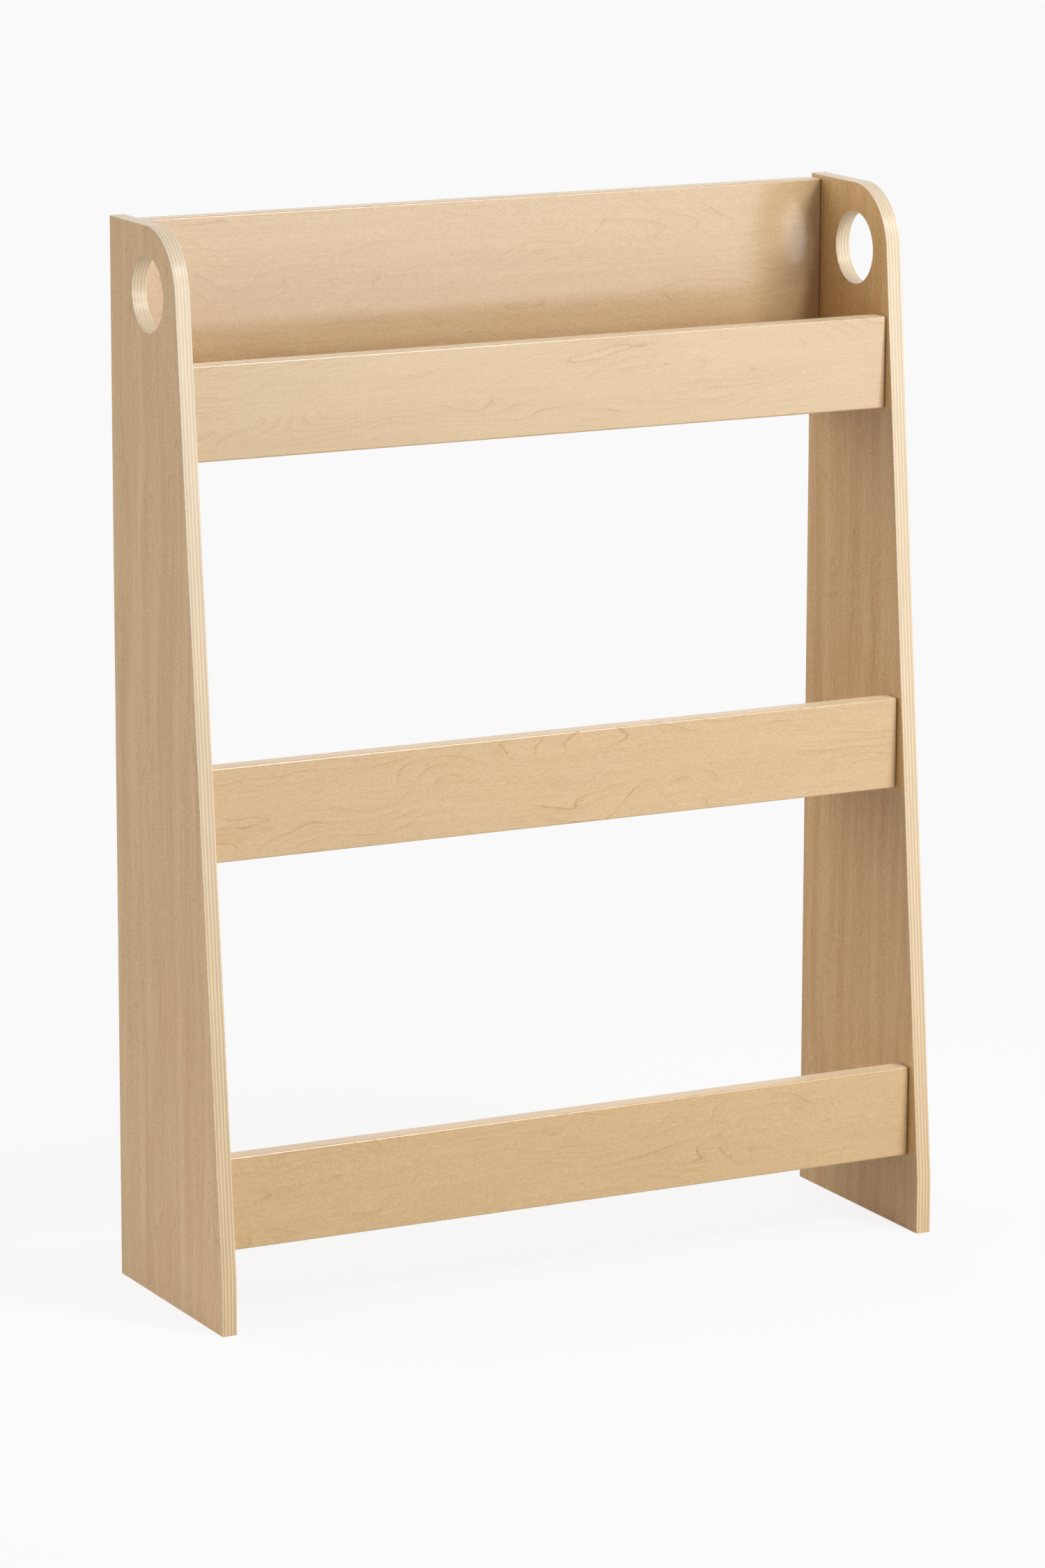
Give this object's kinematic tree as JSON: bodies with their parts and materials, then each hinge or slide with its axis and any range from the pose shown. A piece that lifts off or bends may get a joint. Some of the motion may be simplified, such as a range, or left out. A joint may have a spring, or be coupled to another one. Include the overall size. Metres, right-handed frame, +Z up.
{
  "type": "bookcase",
  "caption": "Low open bookcase: shallow book trays with upright front rails between sloping plywood side panels with round handle holes.",
  "frame": {"origin": "on the floor under the middle of the footprint", "axes": "+X to the right seen from the front, +Y to the back, +Z up; the rails face -Y"},
  "size_m": [0.6, 0.181, 0.8],
  "materials": {
    "side_plywood": "satin lacquered birch plywood, laminations shown on every edge",
    "board_veneer": "satin lacquered pale wood veneer, grain along the board",
    "shelf_veneer": "satin lacquered pale wood veneer, grain along the board",
    "dowel_wood": "raw turned hardwood",
    "bolt_steel": "zinc-plated steel",
    "cam_zinc": "bare cast zinc"
  },
  "bodies": {
    "root": {"back_panel": "board_veneer", "back_panel_cam_bolt_left": "bolt_steel", "back_panel_cam_bolt_right": "bolt_steel", "back_panel_cam_lock_left": "cam_zinc", "back_panel_cam_lock_right": "cam_zinc", "back_panel_dowel_left_1": "dowel_wood", "back_panel_dowel_left_2": "dowel_wood", "back_panel_dowel_right_1": "dowel_wood", "back_panel_dowel_right_2": "dowel_wood", "back_panel_shelf_dowel_1": "dowel_wood", "back_panel_shelf_dowel_2": "dowel_wood", "back_panel_shelf_dowel_3": "dowel_wood", "bottom_rail": "board_veneer", "bottom_rail_dowel_left_1": "dowel_wood", "bottom_rail_dowel_left_2": "dowel_wood", "bottom_rail_dowel_right_1": "dowel_wood", "bottom_rail_dowel_right_2": "dowel_wood", "bottom_shelf": "shelf_veneer", "bottom_shelf_cam_bolt_left": "bolt_steel", "bottom_shelf_cam_bolt_right": "bolt_steel", "bottom_shelf_cam_lock_left": "cam_zinc", "bottom_shelf_cam_lock_right": "cam_zinc", "bottom_shelf_dowel_left_1": "dowel_wood", "bottom_shelf_dowel_right_1": "dowel_wood", "bottom_tray_dowel_1": "dowel_wood", "bottom_tray_dowel_2": "dowel_wood", "bottom_tray_dowel_3": "dowel_wood", "left_side_panel": "side_plywood", "middle_rail": "board_veneer", "middle_rail_dowel_left_1": "dowel_wood", "middle_rail_dowel_left_2": "dowel_wood", "middle_rail_dowel_right_1": "dowel_wood", "middle_rail_dowel_right_2": "dowel_wood", "middle_shelf": "shelf_veneer", "middle_shelf_cam_bolt_left": "bolt_steel", "middle_shelf_cam_bolt_right": "bolt_steel", "middle_shelf_cam_lock_left": "cam_zinc", "middle_shelf_cam_lock_right": "cam_zinc", "middle_shelf_dowel_left_1": "dowel_wood", "middle_shelf_dowel_right_1": "dowel_wood", "middle_tray_dowel_1": "dowel_wood", "middle_tray_dowel_2": "dowel_wood", "middle_tray_dowel_3": "dowel_wood", "right_side_panel": "side_plywood", "top_rail": "board_veneer", "top_rail_dowel_left_1": "dowel_wood", "top_rail_dowel_left_2": "dowel_wood", "top_rail_dowel_right_1": "dowel_wood", "top_rail_dowel_right_2": "dowel_wood", "top_shelf": "shelf_veneer", "top_shelf_cam_bolt_left": "bolt_steel", "top_shelf_cam_bolt_right": "bolt_steel", "top_shelf_cam_lock_left": "cam_zinc", "top_shelf_cam_lock_right": "cam_zinc", "top_shelf_dowel_left_1": "dowel_wood", "top_shelf_dowel_right_1": "dowel_wood", "top_tray_dowel_1": "dowel_wood", "top_tray_dowel_2": "dowel_wood", "top_tray_dowel_3": "dowel_wood"}
  },
  "joints": []
}
